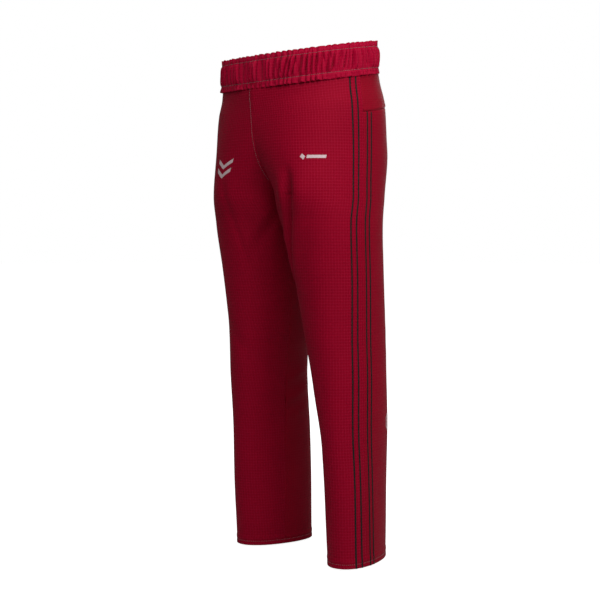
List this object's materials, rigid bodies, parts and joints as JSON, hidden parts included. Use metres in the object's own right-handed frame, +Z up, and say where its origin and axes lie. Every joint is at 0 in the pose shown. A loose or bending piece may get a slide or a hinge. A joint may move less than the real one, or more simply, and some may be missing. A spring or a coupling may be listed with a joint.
{
  "type": "hockey pants",
  "caption": "Long pull-on over-trousers for ice hockey: gathered elastic waistband, back yoke, piped side seams and turned-up hems; the legs bend at hip and knee.",
  "frame": {"origin": "middle of the waist opening, at half the height of the elastic", "axes": "+Z up, -Y the way the wearer faces, +X to the wearer's left"},
  "size_m": [0.3818, 0.2738, 1.0617],
  "materials": {
    "leg_cloth": "fine grid-woven polyester, soft sheen",
    "yoke_cloth": "smooth polyester with faint cross lines",
    "band_cloth": "gathered smooth polyester",
    "elastic": "ribbed knitted elastic",
    "piping": "thin black corded piping",
    "thread": "spun polyester thread",
    "print": "matt screen print on the cloth"
  },
  "bodies": {
    "waist": {"waistband_casing": "band_cloth", "waist_elastic": "elastic", "waistband_upper_stitching": "thread", "waistband_lower_stitching": "thread", "centre_front_stitching": "thread", "left_front_panel_seat": "leg_cloth", "left_front_panel_hip_fold": "leg_cloth", "left_front_piping_1_upper": "piping", "left_front_piping_2_upper": "piping", "left_back_panel_seat": "leg_cloth", "left_back_panel_hip_fold": "leg_cloth", "left_back_piping_1_upper": "piping", "left_back_piping_2_upper": "piping", "left_back_yoke": "yoke_cloth", "left_thigh_mark": "print", "right_front_panel_seat": "leg_cloth", "right_front_panel_hip_fold": "leg_cloth", "right_front_piping_1_upper": "piping", "right_front_piping_2_upper": "piping", "right_back_panel_seat": "leg_cloth", "right_back_panel_hip_fold": "leg_cloth", "right_back_piping_1_upper": "piping", "right_back_piping_2_upper": "piping", "right_back_yoke": "yoke_cloth", "right_thigh_mark": "print"},
    "left_thigh": {"left_front_panel_thigh": "leg_cloth", "left_front_panel_knee_fold": "leg_cloth", "left_front_piping_1_lower": "piping", "left_front_piping_2_lower": "piping", "left_back_panel_thigh": "leg_cloth", "left_back_panel_knee_fold": "leg_cloth", "left_back_piping_1_lower": "piping", "left_back_piping_2_lower": "piping"},
    "right_thigh": {"right_front_panel_thigh": "leg_cloth", "right_front_panel_knee_fold": "leg_cloth", "right_front_piping_1_lower": "piping", "right_front_piping_2_lower": "piping", "right_back_panel_thigh": "leg_cloth", "right_back_panel_knee_fold": "leg_cloth", "right_back_piping_1_lower": "piping", "right_back_piping_2_lower": "piping"},
    "left_shin": {"left_front_panel_shin": "leg_cloth", "left_back_panel_shin": "leg_cloth", "left_hem_turn_up": "leg_cloth", "left_hem_stitching": "thread", "left_calf_mark": "print"},
    "right_shin": {"right_front_panel_shin": "leg_cloth", "right_back_panel_shin": "leg_cloth", "right_hem_turn_up": "leg_cloth", "right_hem_stitching": "thread"}
  },
  "joints": [
    {"name": "left_hip", "type": "hinge", "parent": "waist", "child": "left_thigh", "pos_m": [0.1, 0.032, -0.214], "axis": [-1, 0, 0], "range_deg": [-15, 60], "deforming": ["left_front_panel_hip_fold", "left_front_piping_1_upper", "left_front_piping_2_upper", "left_back_panel_hip_fold", "left_back_piping_1_upper", "left_back_piping_2_upper", "left_thigh_mark"]},
    {"name": "left_knee", "type": "hinge", "parent": "left_thigh", "child": "left_shin", "pos_m": [0.111, 0.028, -0.539], "axis": [1, 0, 0], "range_deg": [0, 90], "deforming": ["left_front_panel_knee_fold", "left_front_piping_1_lower", "left_front_piping_2_lower", "left_back_panel_knee_fold", "left_back_piping_1_lower", "left_back_piping_2_lower"]},
    {"name": "right_hip", "type": "hinge", "parent": "waist", "child": "right_thigh", "pos_m": [-0.1, 0.032, -0.214], "axis": [-1, 0, 0], "range_deg": [-15, 60], "deforming": ["right_front_panel_hip_fold", "right_front_piping_1_upper", "right_front_piping_2_upper", "right_back_panel_hip_fold", "right_back_piping_1_upper", "right_back_piping_2_upper", "right_thigh_mark"]},
    {"name": "right_knee", "type": "hinge", "parent": "right_thigh", "child": "right_shin", "pos_m": [-0.111, 0.028, -0.539], "axis": [1, 0, 0], "range_deg": [0, 90], "deforming": ["right_front_panel_knee_fold", "right_front_piping_1_lower", "right_front_piping_2_lower", "right_back_panel_knee_fold", "right_back_piping_1_lower", "right_back_piping_2_lower"]}
  ]
}
